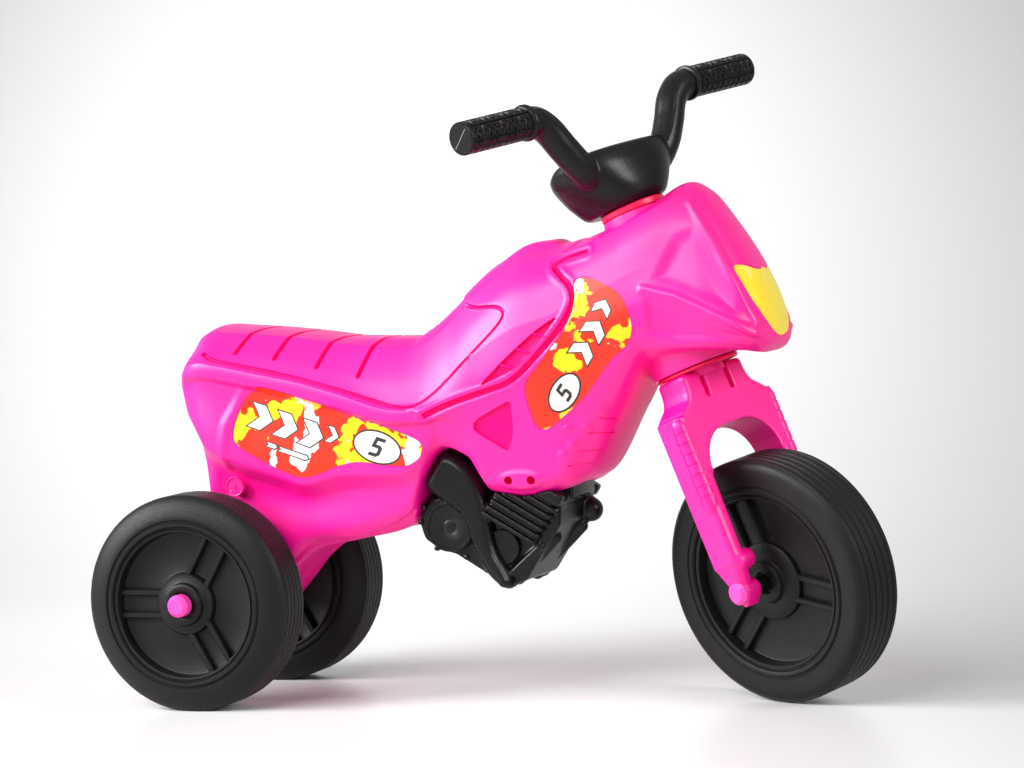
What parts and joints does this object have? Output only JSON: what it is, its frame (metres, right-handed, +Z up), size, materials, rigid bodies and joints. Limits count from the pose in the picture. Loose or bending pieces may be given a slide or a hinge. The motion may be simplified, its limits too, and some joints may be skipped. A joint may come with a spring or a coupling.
{
  "type": "foot-to-floor ride-on",
  "caption": "Foot-to-floor toy motorbike: hollow moulded body with a saddle seat, moulded engine, steered fork and front wheel, raised handlebar and free-turning rear wheels.",
  "frame": {"origin": "on the floor, under the middle of the overall box", "axes": "+X towards the front, +Y to the rider's left, +Z up; the steering is turned to the right at rest"},
  "size_m": [0.6892, 0.3272, 0.5363],
  "materials": {
    "pink_plastic": "satin moulded polyethylene",
    "red_pink_plastic": "satin moulded plastic",
    "black_plastic": "grained moulded polyethylene",
    "zinc_steel": "zinc plated",
    "orange_film": "printed film",
    "yellow_film": "printed film"
  },
  "bodies": {
    "frame": {"body_shell": "pink_plastic", "engine": "black_plastic", "engine_screw_1": "zinc_steel", "engine_screw_2": "zinc_steel", "engine_screw_3": "zinc_steel", "engine_screw_4": "zinc_steel", "rear_axle": "zinc_steel", "rear_axle_cap_left": "pink_plastic", "rear_axle_cap_right": "pink_plastic", "rear_spacer_left": "black_plastic", "rear_spacer_right": "black_plastic", "steering_bush_upper": "red_pink_plastic", "steering_bush_lower": "red_pink_plastic", "headlight": "yellow_film", "side_decal_left": "orange_film", "side_decal_right": "orange_film", "tank_decal_left": "orange_film", "tank_decal_right": "orange_film"},
    "steering": {"fork": "pink_plastic", "handlebar": "black_plastic", "handlebar_bolt": "zinc_steel", "front_axle": "zinc_steel", "front_axle_cap_left": "pink_plastic", "front_axle_cap_right": "pink_plastic", "front_spacer_left": "black_plastic", "front_spacer_right": "black_plastic"},
    "front_wheel_body": {"front_wheel": "black_plastic"},
    "rear_wheel_left_body": {"rear_wheel_left": "black_plastic"},
    "rear_wheel_right_body": {"rear_wheel_right": "black_plastic"}
  },
  "joints": [
    {"name": "steering_turn", "type": "hinge", "parent": "frame", "child": "steering", "pos_m": [0.13552, 0.00812, 0.38471], "axis": [-0.3567, 0, 0.9342], "range_deg": [-15.4, 64.6]},
    {"name": "front_wheel_spin", "type": "hinge", "parent": "steering", "child": "front_wheel_body", "pos_m": [0.24254, 0.00812, 0.10444], "axis": [0.3889, 0.9092, 0.1485], "continuous": true},
    {"name": "rear_wheel_left_spin", "type": "hinge", "parent": "frame", "child": "rear_wheel_left_body", "pos_m": [-0.25246, 0.09137, 0.09182], "axis": [0, 1, 0], "continuous": true},
    {"name": "rear_wheel_right_spin", "type": "hinge", "parent": "frame", "child": "rear_wheel_right_body", "pos_m": [-0.25246, -0.07513, 0.09182], "axis": [0, 1, 0], "continuous": true}
  ]
}
